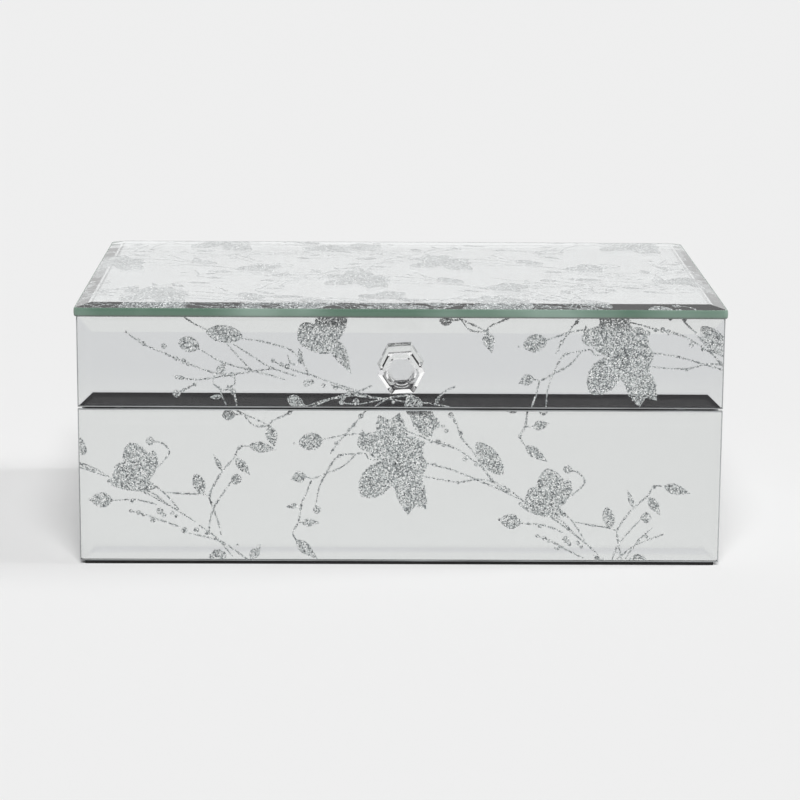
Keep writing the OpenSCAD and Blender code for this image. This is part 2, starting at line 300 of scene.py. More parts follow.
@dataclass(frozen=True)
class GlitterInk(Finish):
    """Screen-printed silver glitter: foil flakes in clear ink, tilted at random, with gaps between them."""

    name: str = "silver_glitter_ink"
    flake_mm: float = 0.46
    gaps: float = 0.16
    tilt: float = 0.9
    metallic: float = 0.15
    roughness: float = 0.4
    tones: tuple[str, ...] = ("#6C7073", "#8F9395", "#B4B8B9", "#D3D6D6", "#FFFFFF")
    steps: tuple[float, ...] = (0.0, 0.14, 0.34, 0.58, 0.84)

    def shade(self, tree: bpy.types.NodeTree) -> bpy.types.NodeSocket:
        """Add flakes as cells of random brightness, tilt and presence, and return the shader's socket."""
        place = add_node(tree, "ShaderNodeTexCoord").outputs["Object"]
        flakes = {"Scale": per_metre(self.flake_mm), "Randomness": 1.0}
        cells = add_node(tree, "ShaderNodeTexVoronoi", flakes, {"Vector": place}).outputs["Color"]
        random = add_node(tree, "ShaderNodeSeparateColor", links={"Color": cells})
        centred = add_node(
            tree, "ShaderNodeVectorMath", {"operation": "SUBTRACT", 1: (0.5, 0.5, 0.5)}, {0: cells}
        ).outputs[0]
        tilted = add_node(
            tree, "ShaderNodeVectorMath", {"operation": "SCALE", "Scale": self.tilt}, {0: centred}
        ).outputs[0]
        normal = add_node(tree, "ShaderNodeVectorMath", {"operation": "ADD"}, {
            0: tilted, 1: add_node(tree, "ShaderNodeNewGeometry").outputs["Normal"],
        }).outputs[0]
        normal = add_node(tree, "ShaderNodeVectorMath", {"operation": "NORMALIZE"}, {0: normal}).outputs[0]
        stops = tuple(zip(self.steps, self.tones))
        tones = add_node(tree, "ShaderNodeValToRGB", links={"Fac": random.outputs[0]}, stops=stops)
        tones.color_ramp.interpolation = "CONSTANT"
        present = add_node(
            tree, "ShaderNodeMath", {"operation": "GREATER_THAN", 1: self.gaps}, {0: random.outputs[1]}
        )
        settings = {"Metallic": self.metallic, "Roughness": self.roughness}
        return add_node(tree, "ShaderNodeBsdfPrincipled", settings, {
            "Base Color": tones.outputs[0], "Normal": normal, "Alpha": present.outputs[0],
        }).outputs[0]


@dataclass(frozen=True)
class GroundEdge(Finish):
    """The ground, satin-polished edge of float glass: green or grey from the iron, cloudy along it."""

    name: str = "ground_glass_edge"
    dark: str = "#5C7767"
    light: str = "#869C90"
    cloud_mm: float = 45.0
    grind_mm: float = 0.6
    grind_deep_mm: float = 0.05
    roughness: float = 0.24
    ior: float = 1.52

    def shade(self, tree: bpy.types.NodeTree) -> bpy.types.NodeSocket:
        """Add the clouded colour and the grinder's fine marks, and return the shader's socket."""
        clouds, marks = mottle(tree, self.cloud_mm), mottle(tree, self.grind_mm, 3.0)
        colour = add_node(
            tree, "ShaderNodeValToRGB", links={"Fac": clouds}, stops=((0.38, self.dark), (0.62, self.light))
        )
        return add_node(tree, "ShaderNodeBsdfPrincipled", {"Roughness": self.roughness, "IOR": self.ior}, {
            "Base Color": colour.outputs[0], "Normal": relief(tree, marks, 0.15, self.grind_deep_mm),
        }).outputs[0]


@dataclass(frozen=True)
class UnderEdgeShade(Finish):
    """A grey-brown band of painted shade at the foot of a glass edge: the dark line under the overhang, given
    as colour.
    """

    name: str = "painted_under_edge_shade"
    dark: str = "#5F5C5D"
    light: str = "#787576"
    speck_mm: float = 1.5
    roughness: float = 0.5

    def shade(self, tree: bpy.types.NodeTree) -> bpy.types.NodeSocket:
        """Add the painted shade, a little uneven in colour, and return the shader's socket."""
        specks = mottle(tree, self.speck_mm)
        colour = add_node(
            tree, "ShaderNodeValToRGB", links={"Fac": specks}, stops=((0.3, self.dark), (0.7, self.light))
        )
        return add_node(
            tree, "ShaderNodeBsdfPrincipled", {"Roughness": self.roughness}, {"Base Color": colour.outputs[0]}
        ).outputs[0]


@dataclass(frozen=True)
class PaintedBoard(Finish):
    """Medium-density fibreboard under matt black lacquer: faint fibre telegraphing, slightly worn sheen."""

    name: str = "black_lacquered_fibreboard"
    dark: str = "#1D1B1B"
    light: str = "#262423"
    fibre_mm: float = 0.9
    fibre_deep_mm: float = 0.06
    patch_mm: float = 30.0
    sheen: Point = (0.38, 0.6)

    def shade(self, tree: bpy.types.NodeTree) -> bpy.types.NodeSocket:
        """Add the lacquer over a fibre bump and return the shader's socket."""
        patches = mottle(tree, self.patch_mm, 3.0)
        rough = add_node(
            tree, "ShaderNodeMapRange", {"To Min": self.sheen[0], "To Max": self.sheen[1]}, {"Value": patches}
        )
        colour = add_node(
            tree, "ShaderNodeValToRGB", links={"Fac": patches}, stops=((0.3, self.dark), (0.7, self.light))
        )
        fibres = relief(tree, mottle(tree, self.fibre_mm, 4.0), 0.25, self.fibre_deep_mm)
        return add_node(tree, "ShaderNodeBsdfPrincipled", links={
            "Base Color": colour.outputs[0], "Roughness": rough.outputs[0], "Normal": fibres,
        }).outputs[0]


@dataclass(frozen=True)
class Velvet(Finish):
    """Flocked velvet: a short pile that glows at grazing angles and darkens where it is stroked flat."""

    name: str = "black_flocked_velvet"
    dark: str = "#131315"
    light: str = "#212124"
    glow: str = "#A8A8B4"
    pile_mm: float = 0.35
    pile_deep_mm: float = 0.15
    stroke_mm: float = 16.0
    stroke_deep_mm: float = 0.5
    roughness: float = 0.9
    sheen: float = 0.55
    sheen_roughness: float = 0.4

    def shade(self, tree: bpy.types.NodeTree) -> bpy.types.NodeSocket:
        """Add the pile, its strokes and its sheen, and return the shader's socket."""
        strokes = mottle(tree, self.stroke_mm, 3.0, 0.6)
        soft = relief(tree, strokes, 0.5, self.stroke_deep_mm)
        pile = relief(tree, mottle(tree, self.pile_mm), 0.6, self.pile_deep_mm, soft)
        colour = add_node(
            tree, "ShaderNodeValToRGB", links={"Fac": strokes}, stops=((0.35, self.dark), (0.65, self.light))
        )
        return add_node(tree, "ShaderNodeBsdfPrincipled", {
            "Roughness": self.roughness, "Sheen Weight": self.sheen, "Sheen Roughness": self.sheen_roughness,
            "Sheen Tint": linear(self.glow),
        }, {"Base Color": colour.outputs[0], "Normal": pile}).outputs[0]


@dataclass(frozen=True)
class NeedleFelt(Finish):
    """Needle-punched polyester felt: matted fibres, dull black."""

    name: str = "black_needle_felt"
    dark: str = "#141414"
    light: str = "#242424"
    fibre_mm: float = 0.5
    fibre_deep_mm: float = 0.2
    roughness: float = 0.95
    sheen: float = 0.2

    def shade(self, tree: bpy.types.NodeTree) -> bpy.types.NodeSocket:
        """Add the matted fibres and return the shader's socket."""
        mat = mottle(tree, self.fibre_mm, 5.0, 1.5)
        colour = add_node(
            tree, "ShaderNodeValToRGB", links={"Fac": mat}, stops=((0.35, self.dark), (0.65, self.light))
        )
        settings = {"Roughness": self.roughness, "Sheen Weight": self.sheen}
        return add_node(tree, "ShaderNodeBsdfPrincipled", settings, {
            "Base Color": colour.outputs[0], "Normal": relief(tree, mat, 0.8, self.fibre_deep_mm),
        }).outputs[0]


@dataclass(frozen=True)
class PlatedMetal(Finish):
    """Stamped and plated metal: polished, with cloudier patches from handling."""

    name: str = "bright_nickel_plate"
    colour: str = "#D2CDC3"
    roughness: float = 0.16
    cloud_mm: float = 5.0
    cloud_deep_mm: float = 0.02

    def shade(self, tree: bpy.types.NodeTree) -> bpy.types.NodeSocket:
        """Add the plate with its cloudy roughness and return the shader's socket."""
        clouds = mottle(tree, self.cloud_mm, 4.0)
        rough = add_node(
            tree, "ShaderNodeMapRange", {"To Min": self.roughness * 0.7, "To Max": self.roughness * 1.6},
            {"Value": clouds},
        )
        settings = {"Base Color": linear(self.colour), "Metallic": 1.0}
        return add_node(tree, "ShaderNodeBsdfPrincipled", settings, {
            "Roughness": rough.outputs[0], "Normal": relief(tree, clouds, 0.1, self.cloud_deep_mm),
        }).outputs[0]


@dataclass(frozen=True)
class SoftSilicone(Finish):
    """Cast silicone rubber: milky, soft-edged and slightly tacky-looking."""

    name: str = "cast_silicone"
    colour: str = "#D9DEDF"
    roughness: float = 0.32
    ior: float = 1.43
    grain_mm: float = 0.4
    grain_deep_mm: float = 0.05
    milkiness: float = 0.5

    def shade(self, tree: bpy.types.NodeTree) -> bpy.types.NodeSocket:
        """Add the milky rubber and return the shader's socket."""
        grain = relief(tree, mottle(tree, self.grain_mm), 0.1, self.grain_deep_mm)
        return add_node(tree, "ShaderNodeBsdfPrincipled", {
            "Base Color": linear(self.colour), "Roughness": self.roughness, "IOR": self.ior,
            "Transmission Weight": self.milkiness,
        }, {"Normal": grain}).outputs[0]


@dataclass(frozen=True)
class PaperSweep(Finish):
    """Matt white paper for the floor. It gets a little greyer in two steps away in front of the box: painted
    shade for light that falls off with distance.
    """

    name: str = "matt_paper_painted_falloff"
    tones: tuple[str, str, str] = ("#EFEFEF", "#E7E7E9", "#CFCFD1")
    steps: tuple[Point, Point] = ((-0.38, -0.52), (-1.0, -2.2))

    def shade(self, tree: bpy.types.NodeTree) -> bpy.types.NodeSocket:
        """Add the paper, whose tone darkens over two stretches of the front as painted shade, and return its
        socket.
        """
        place = add_node(tree, "ShaderNodeTexCoord").outputs["Object"]
        depth = add_node(tree, "ShaderNodeSeparateXYZ", links={0: place}).outputs["Y"]
        colour = add_node(tree, "ShaderNodeRGB").outputs[0]
        colour.default_value = linear(self.tones[0])
        # Each later tone is painted shade, laid over the paper further in front of the box
        for tone, (start, end) in zip(self.tones[1:], self.steps):
            smooth = {"interpolation_type": "SMOOTHSTEP", "From Min": start, "From Max": end}
            part = add_node(tree, "ShaderNodeMapRange", smooth, {"Value": depth})
            colour = add_node(
                tree, "ShaderNodeMix", {"data_type": "RGBA", 7: linear(tone)}, {0: part.outputs[0], 6: colour}
            ).outputs[2]
        return add_node(tree, "ShaderNodeBsdfDiffuse", links={"Color": colour}).outputs[0]


# ---- The print's drawing, in millimetres ----

EDGE_NOISE = np.random.default_rng(11)


class Outline(Enum):
    """How a filled shape swells: (power of the sine, lean, reach, depth of the notch in its tip)."""

    POINTED = (1.15, 0.75, 1.0, 0.0)
    ROUND = (0.55, 1.0, 1.0, 0.0)
    PETAL = (0.62, 1.35, 1.0, 0.0)
    RAGGED = (0.6, 1.1, 0.86, 0.1)


@dataclass(frozen=True)
class Stem:
    """A thin printed line that flows through its points."""

    points: tuple[Point, ...]
    width: float = 0.85
    step: float = 0.45
    uneven: Point = (0.45, 1.3)

    def shape(self) -> Shape:
        """Return a ribbon of uneven width along a Catmull-Rom curve through the points, thin at its ends."""
        p = np.asarray(self.points, float)
        p = np.vstack([2 * p[0] - p[1], p, 2 * p[-1] - p[-2]])
        spans = []
        for a, b, c, d in zip(p, p[1:], p[2:], p[3:]):
            t = np.linspace(0, 1, max(3, int(np.linalg.norm(c - b) / self.step)), endpoint=False)[:, None]
            spans.append(
                0.5 * (
                    2 * b + (c - a) * t + (2 * a - 5 * b + 4 * c - d) * t**2 + (3 * b - a - 3 * c + d) * t**3
                )
            )
        line = np.vstack([*spans, p[-2:-1]])
        run = np.gradient(line, axis=0)
        side = np.stack([-run[:, 1], run[:, 0]], 1) / np.linalg.norm(run, axis=1)[:, None]
        taper = 0.6 + 0.4 * np.sin(np.linspace(0, math.pi, len(line)))[:, None] ** 0.5
        taper = taper * EDGE_NOISE.uniform(*self.uneven, (len(line), 1))
        offset = side * taper * self.width / 2
        flat = np.stack([line + offset, line - offset], 1).reshape(-1, 2)
        return Shape(np.column_stack([flat, np.zeros(len(flat))]), grid_faces(len(line), 2))


@dataclass(frozen=True)
class Fill:
    """A printed leaf, bud or petal between a root and a tip."""

    root: Point
    tip: Point
    width: float
    outline: Outline = Outline.POINTED
    row_step: float = 0.5
    col_step: float = 0.9
    rough: float = 0.07

    def shape(self) -> Shape:
        """Return a grid from root (t = 0) to tip (t = 1), s = -1 to 1 wide.

        Its half width is width / 2 * sin(pi * (reach * t) ** lean) ** power, roughened at random.
        Its rows are drawn back in the middle by notch * (1 - |s|) * t ** 4 of its length.
        """
        power, lean, reach, notch = self.outline.value
        root, along = np.asarray(self.root, float), np.subtract(self.tip, self.root)
        length = float(np.linalg.norm(along))
        side = np.array([-along[1], along[0]]) / length
        t = np.linspace(0.0, 1.0, max(7, int(length / self.row_step)))
        s = np.linspace(-1, 1, max(3, int(self.width / self.col_step)))
        half = self.width / 2 * np.clip(np.sin(math.pi * (reach * t) ** lean), 0.02, 1) ** power
        half *= 1 + EDGE_NOISE.uniform(-self.rough, self.rough, len(t))
        run = t[:, None] * (1 - notch * (1 - np.abs(s)) * t[:, None] ** 4)
        flat = root + run[:, :, None] * along + half[:, None, None] * s[None, :, None] * side
        flat = flat.reshape(-1, 2)
        return Shape(np.column_stack([flat, np.zeros(len(flat))]), grid_faces(len(t), len(s)))


def dot(x: float, y: float, radius: float) -> Fill:
    """Return a round printed dot, such as a berry."""
    return Fill((x - radius, y), (x + radius, y), 2 * radius, Outline.ROUND)


def petals(centre: Point, tips: Sequence[tuple[float, float, float]]) -> tuple[Fill, ...]:
    """Return petals that all start at a flower's centre.

    Args:
        centre: Where the petals meet.
        tips: The x and y of each petal's tip, and the petal's width.

    Returns:
        The petals.
    """
    return tuple(Fill(centre, (x, y), width, Outline.PETAL) for x, y, width in tips)


# A branch with an open blossom at its origin, a half-open flower to its right and leafy twigs
BLOSSOM_BRANCH: tuple[Stem | Fill, ...] = (
    Fill((0.5, -7), (-2.5, 19), 13.5, Outline.RAGGED), Fill((3, -3), (-12, 10.5), 11, Outline.PETAL),
    Fill((2, 1), (-14, -16), 13, Outline.PETAL), Fill((1, 4), (9.5, -23), 12.5, Outline.RAGGED),
    Fill((-3, -2), (13.5, -3), 13, Outline.PETAL), Fill((0, -5), (9.5, 9), 12, Outline.PETAL),
    dot(-12.5, -14, 1.6), dot(3, -9, 5),
    # A bud and the twigs on the blossom's left
    Fill((-30, 8), (-40, 6.5), 7.5, Outline.ROUND), dot(-42, 6.5, 0.5),
    Stem(((-31, 8), (-21.5, 10), (-15, 10.5), (-8, 10))),
    Stem(((-11, 22), (-14, 18), (-17, 14.5), (-21, 10), (-24, 6.5), (-27, 2))),
    dot(-14.2, 18, 1.2), dot(-17, 14.2, 0.9), dot(-24.2, 6.5, 1.1), dot(-19, 12.5, 0.7), dot(-25.8, 3.6, 0.7),
    Fill((-13, 3.5), (-13.6, 12.5), 5, Outline.POINTED),
    Stem(((-8, -0.5), (-11, 0), (-12.5, 2.2), (-17, 2), (-23.5, 1), (-28, -5), (-31.5, -12.5), (-33, -20.5))),
    dot(-32.4, -22, 1.7), dot(-23, 1.2, 0.9),
    Stem(((-16.5, 1.5), (-22, -3.5), (-29, -6.5), (-34, -8.5), (-38, -7.5))),
    Fill((-37, -7), (-43.5, -9), 5, Outline.POINTED),
    Stem(((-34.5, -8.5), (-36.5, -14), (-39, -20), (-40.2, -27), (-42.5, -32), (-41, -35.5)), 0.95),
    Fill((-41.3, -35), (-32, -43.5), 4.6), Fill((-40, -20), (-46, -21), 2.2),
    Fill((-39, -27.5), (-31, -27.6), 3.6), Stem(((-40.3, -27.6), (-38, -27.6))),
    # Twigs with berries that run right from the blossom
    Stem(((4.5, 12), (10, 10), (15, 7.8), (20, 6.4), (26, 4.2), (30, 1.5), (36, -3.2), (44, -12),
          (50, -14.5))),
    dot(15, 7.6, 0.9), dot(18, 7.3, 1.2), dot(20.3, 6.2, 1.1), dot(22.5, 5.8, 0.7), dot(11.5, 6.5, 1.3),
    dot(29.3, 0, 1.1), dot(34, -2.3, 0.9), dot(8.5, 6.4, 0.6),
    Stem(((10, -1), (16.5, -2.6), (23, -4.3), (29.5, -6.8), (36, -9.6), (44, -13), (52, -17))),
    Stem(((10, -7), (18.5, -8.7), (27, -9.8), (34, -8.8), (40, -9.4), (47, -12.5), (54, -18))),
    dot(26.6, -10.3, 0.7), dot(16.7, -2.4, 0.8),
    Stem(((23, 19), (25.5, 15), (27.5, 9.5), (32, 4), (36.5, -3), (41, -9.5), (48, -15))),
    dot(23.2, 18.5, 1.2), dot(25, 15.8, 0.9), dot(27.3, 11, 1.1), dot(21.5, 12, 1.1), dot(20, 14, 0.8),
    Fill((45, -6.5), (34, 7), 8, Outline.ROUND),
    # A half-open flower seen from its side, with one petal drawn as a line
    *petals((68, -22), ((63.5, -4, 11), (56, -13, 9), (73, -8.5, 6))),
    Fill((52, -19), (72, -24), 6, Outline.ROUND), dot(72.2, -4.3, 1.9), dot(59, -17, 4.4),
    Stem(((71, -4.5), (76.5, -5.5), (79.5, -9.5), (77, -13), (72, -17))),
    Stem(((58, -21), (64, -24), (70, -28), (79, -35), (86, -41))),
    Stem(((71, -23), (74, -26), (77, -30), (80, -35))),
    Stem(((62, -22), (70, -26.5), (76, -32.5))),
    # A bud and a twig of berries under it
    Fill((53, -27.5), (44.5, -26), 6.4, Outline.ROUND), dot(44, -26, 0.6),
    Stem(((52.5, -27.5), (61.5, -28.2), (66, -29.5), (71, -31.5))), dot(61, -29, 0.8),
    Stem(((60, -33), (65, -35), (70, -37.5), (79.5, -42.5))),
    dot(60, -33, 0.8), dot(63, -34, 1), dot(65, -35.2, 0.8), dot(68.5, -38, 1.2), dot(72, -34.5, 1.5),
    dot(73.5, -36.5, 1), dot(77, -36, 1), dot(78.5, -37.5, 0.8), dot(81, -44, 1.4), dot(86, -44.5, 1.2),
    # A leafy twig
    Stem(((91, -48), (92, -42), (94.5, -36), (99, -30.5), (103.5, -25.5))), dot(105.5, -25, 2.3),
    Stem(((96, -48), (95.5, -42), (94, -35), (93.6, -30.5), (96.5, -25.5), (100.5, -20.5), (106, -15.5),
          (108.5, -11.5), (113, -11.5)), 0.95),
    Stem(((93.8, -31), (90.5, -29.5), (84, -28.5), (76, -27))),
    Fill((90.8, -29.5), (88.8, -20.5), 5, Outline.ROUND), Fill((112.5, -11.3), (124, -14.5), 4.6),
    Fill((100, -20.5), (97.5, -13), 2.2), Fill((106.5, -16), (111.5, -24), 4.2), dot(108.5, -11.8, 0.9),
)

# A looser spray that rises to a flower in half profile, with its origin where its stems cross
RISING_SPRAY: tuple[Stem | Fill, ...] = (
    Stem(((-54, 15), (-47, 10), (-38, 6), (-29, 2), (-18, -2), (-8, -3))),
    dot(-48.5, 11.5, 0.8), dot(-46.5, 10, 1), dot(-33, 3.7, 1), dot(-30, 2.6, 1.2), dot(-28, 1.4, 0.9),
    dot(-38, 9, 1.2), Fill((-23.5, 8.5), (-32, 11), 6.6, Outline.ROUND),
    Stem(((-24, 8), (-14, 2.4), (-1, -1.4), (6, -3.2), (12, -5))),
    Stem(((-31, 22), (-26, 18.5), (-20, 15.5))),
    Fill((-20.5, 15), (-5.5, 13), 7.2, Outline.ROUND),
    Stem(((-6, 12.2), (0, 11.5), (6, 10.2), (11, 8.8), (15, 7), (19, 2.5))),
    Stem(((-12, 10), (-7.5, 5), (-2, -1), (2, -2))),
    Stem(((-9.5, 10), (-1, 4.5), (6, 0.2), (16.5, -3.5))),
    Stem(((-34, -4.5), (-22.5, -5), (-8, -2.6), (7, -0.4))), Fill((-29, -4.8), (-35, -3.5), 1.8),
    Stem(((-33, -11), (-28, -8.5), (-25, -6.5))), dot(-33, -11, 1.6), dot(-30, -9.6, 0.8),
    dot(-25.5, -7.2, 0.9), Stem(((-12.5, -1), (-17, -3), (-17.5, -7), (-13, -9.5), (-9, -7), (-9, -3))),
    Fill((-16, -3), (-12.5, 2.5), 3.4), dot(-11, -8.4, 1.3), dot(-10, -3, 1.1),
    Stem(((-15.5, -8), (-14, -12), (-12, -16.5), (-8, -22))), Fill((-14, -12), (-19.5, -12.5), 2.2),
    Stem(((-9.5, -9), (-8.5, -13), (-7.6, -17), (-3, -22))), dot(-9.6, -10, 1.3),
    *petals((27, 6), ((19, 18.5, 10.5), (31.5, 26, 11), (37, 23, 7))), dot(29, 10.5, 4.6),
    Fill((31, 13), (39.5, -2.5), 6),
    Stem(((13, 5.5), (14.5, 2), (17.5, 1.5), (19, 3.5))), dot(18.5, 3, 1.3),
    Stem(((7, 3), (12.5, 0), (23, -3.2), (31, -6), (40, -9), (49, -12.5))),
    dot(7, 3, 1), dot(10.5, 1.4, 1), dot(13, 0.6, 1.2), dot(21, -6.5, 1.6), dot(23, -6, 1.1),
    dot(28, -7.5, 1), Stem(((18, 4.5), (20, 1), (22, -3))), Fill((19, 4), (17.5, 8.5), 2),
    Fill((19.5, -15.5), (13, -12.5), 5, Outline.ROUND),
    Stem(((19, -15), (22.5, -16.5), (31, -13), (40, -10))),
)

# A short twig that hangs from its two ends, with a bud and a leaf
HANGING_TWIG: tuple[Stem | Fill, ...] = (
    Stem(((-17, 10), (-14, 7), (-10.5, 5), (-5, 2.5), (0, 0))),
    Stem(((-10.5, 5), (-8, 1.5), (-5, 0), (0, 0))),
    Stem(((0, 0), (1.6, 2.2), (7, 4.8), (12, 8))),
    Stem(((-14.5, 4.6), (-10.5, 5))),
    Fill((-14, 4.8), (-19.5, 4.4), 4.6, Outline.ROUND), Fill((0, 0), (2.4, -9), 5),
    dot(0.2, 0, 0.8), dot(8.5, 5.6, 0.9),
)

# A broken stem that drops, with two pointed leaves
DROPPING_TWIG: tuple[Stem | Fill, ...] = (
    Stem(((1.4, 12), (0.8, 6), (0, 0), (-2.2, -4.6), (0.3, -9)), 0.95),
    Stem(((0, -0.5), (3.5, -0.6))), dot(-2.2, -4.6, 0.9),
    Fill((0, -8.6), (9.5, -15.5), 4.4), Fill((3, -0.7), (10, 0.8), 3.8), Fill((-3, 6.4), (-8, 5.8), 2.4),
    dot(7.5, 6, 1.9),
)

# Twigs that cross low down under the knob, with a bud at their left and the tip of a blossom at their right
CROSSING_TWIGS: tuple[Stem | Fill, ...] = (
    dot(-39.2, -0.8, 2.6), dot(-18.8, 0.8, 1.2), dot(-19.5, -1.4, 1.2), dot(-13.6, -1, 1.4),
    dot(2, -1.2, 0.8),
    Stem(((-37, -1.9), (-34.5, -3.1), (-24.7, 0.1), (-18.8, 0.6), (-15.3, 1.6), (-9.4, 1), (0, 0.1),
          (6.6, -1), (14.3, -1.4), (20, -2.3), (26, -3.4))),
    Stem(((-20.5, -1.6), (-13, -2.2), (-5.9, -0.8), (-0.6, 0.6))), Stem(((-6, -3.4), (0, 0.4), (9.5, 2.1))),
    Stem(((-18, 4), (-13, 3), (-8, 0.8), (-1, 0))), Stem(((-24, 6), (-17, 3.6), (-11, 1.4))),
    Stem(((-15, 1.8), (-10, 4.2), (-7, 5.6))), dot(-16.5, 2.6, 1.1), dot(-13, 2.2, 0.9), dot(-22, 4.8, 1.2),
    Fill((13.5, -4.5), (7.5, 1.2), 6.5, Outline.ROUND), Fill((6.5, -3.8), (12, -1), 5, Outline.ROUND),
    Stem(((19.5, -2.2), (20.4, 0.4), (23.7, 3.5), (28.4, 5.6))), Fill((19.8, -1.8), (21, 2), 1.9),
    dot(22.8, 0, 0.5),
)

# The lower half of a blossom, cut off by a panel's edge
HALF_BLOSSOM: tuple[Stem | Fill, ...] = (
    Fill((-2, 1), (9.5, -3.5), 8.5, Outline.ROUND), Fill((0, -1), (10.8, -10), 9.5, Outline.RAGGED),
    dot(2, -1.5, 2.8),
)

# A bud, a leaf and a few stems that run off a panel's lower edge
LOW_TWIG: tuple[Stem | Fill, ...] = (
    Stem(((-13.5, 3.6), (-5, 1.6), (0, 0), (5, -3), (11.5, -8))),
    Stem(((-9, 7), (-3, 2.6), (1.5, -2), (5, -6.5))),
    Fill((2.5, -6), (-5, -6.5), 6, Outline.ROUND), Fill((12.4, -7.5), (16.8, -1.2), 4), dot(-6, 3.6, 0.9),
    dot(7, -1.4, 0.5),
)


@dataclass(frozen=True)
class Spray:
    """One of the drawings, laid on a panel."""

    drawing: tuple[Stem | Fill, ...]
    at: Point
    turn: float = 0.0
    flip: bool = False

    def shapes(self) -> list[Shape]:
        """Return the drawing's shapes, turned by turn degrees and moved to their place on the panel."""
        angle = math.radians(self.turn)
        spin = np.array([[math.cos(angle), -math.sin(angle)], [math.sin(angle), math.cos(angle)]])
        if self.flip:
            spin = spin @ np.diag([-1.0, 1.0])
        made = []
        for part in self.drawing:
            shape = part.shape()
            shape.points[:, :2] = shape.points[:, :2] @ spin.T + self.at
            made.append(shape)
        return made


# ---- Mirror panels ----


class Facing(Enum):
    """Which way a panel's face looks: its across and up directions, seen from outside."""

    FRONT = ((1, 0, 0), (0, 0, 1))
    BACK = ((-1, 0, 0), (0, 0, 1))
    LEFT = ((0, -1, 0), (0, 0, 1))
    RIGHT = ((0, 1, 0), (0, 0, 1))
    TOP = ((1, 0, 0), (0, 1, 0))

    @property
    def axes(self) -> np.ndarray:
        """Rows for across, up and out."""
        across, up = np.array(self.value, float)
        return np.stack([across, up, np.cross(across, up)])


